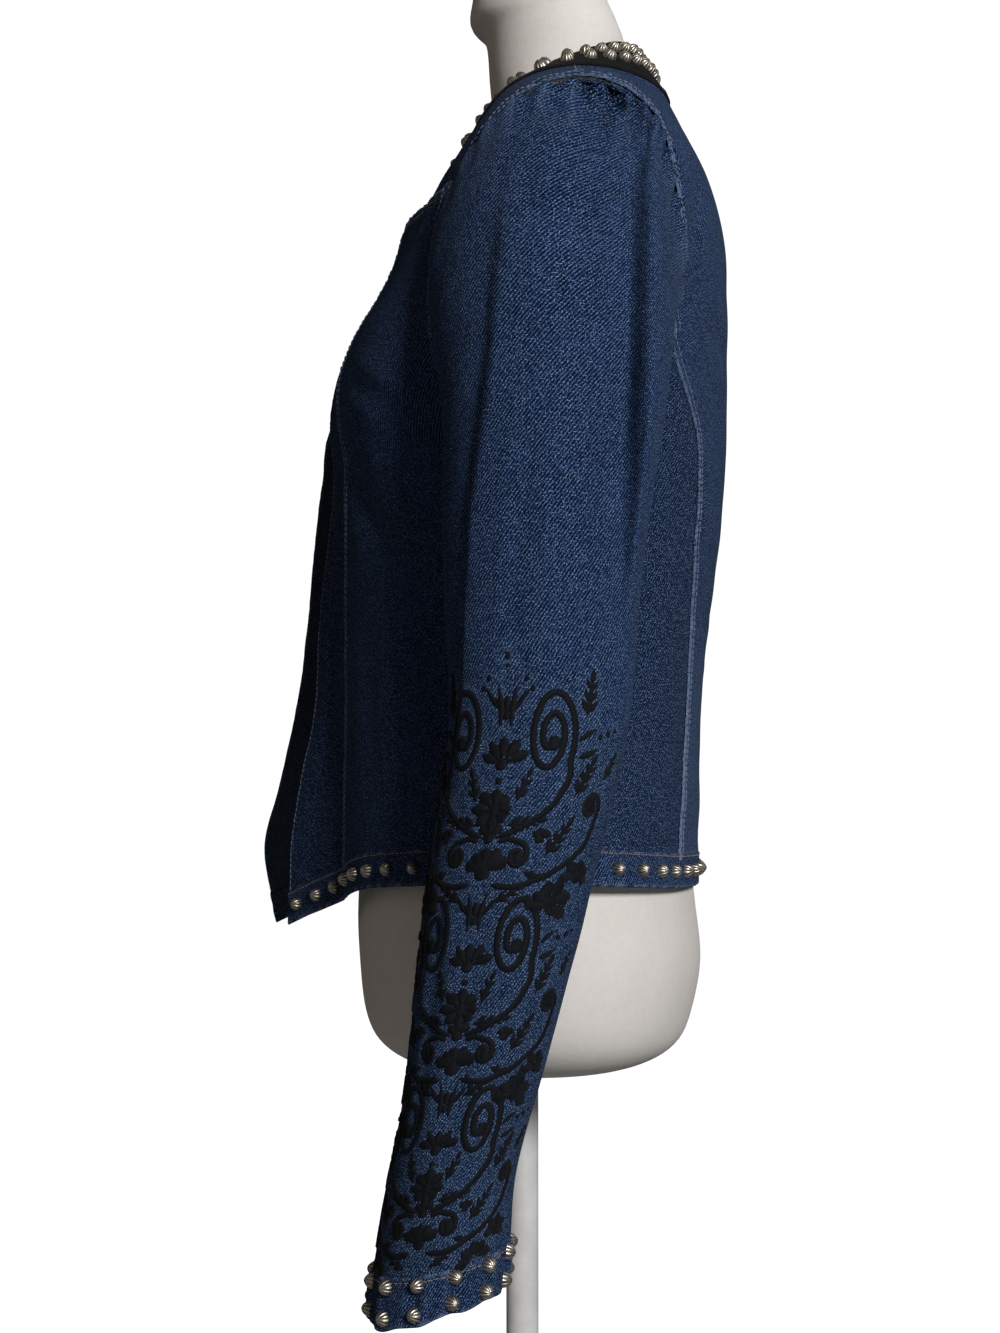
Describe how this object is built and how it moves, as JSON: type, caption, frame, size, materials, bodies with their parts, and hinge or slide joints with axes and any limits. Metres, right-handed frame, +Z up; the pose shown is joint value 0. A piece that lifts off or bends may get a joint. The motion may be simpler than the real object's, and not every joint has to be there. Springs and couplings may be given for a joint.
{
  "type": "denim jacket on a dress form",
  "caption": "Cropped collarless denim jacket, worn open, with a studded velvet neck band and studded hems, on a limbless dress form with a pole and a round base.",
  "frame": {"origin": "centre of the underside of the stand's base plate, on the pole's axis, at floor level", "axes": "+Z up along the pole and the body, -Y towards the front of the jacket, +X towards the wearer's left"},
  "size_m": [0.5178, 0.3164, 1.28],
  "materials": {
    "denim": "dark indigo twill, matte, with lighter worn seams",
    "black_velvet": "black short pile, matte",
    "form_shell": "smooth matte white shell",
    "white_paint": "white satin paint"
  },
  "bodies": {
    "root": {"back_panel": "denim", "side_back_left": "denim", "side_back_right": "denim", "side_front_left": "denim", "side_front_right": "denim", "front_left": "denim", "front_right": "denim", "front_yoke_left": "denim", "front_yoke_right": "denim", "hem_back": "denim", "hem_side_back_left": "denim", "hem_side_back_right": "denim", "hem_side_front_left": "denim", "hem_side_front_right": "denim", "hem_front_left": "denim", "hem_front_right": "denim", "neck_band": "black_velvet", "upper_sleeve_left": "denim", "upper_sleeve_right": "denim", "under_sleeve_left": "denim", "under_sleeve_right": "denim", "cuff_left": "denim", "cuff_right": "denim", "dress_form": "form_shell", "pole": "white_paint", "pole_socket": "white_paint", "base_plate": "white_paint"}
  },
  "joints": []
}
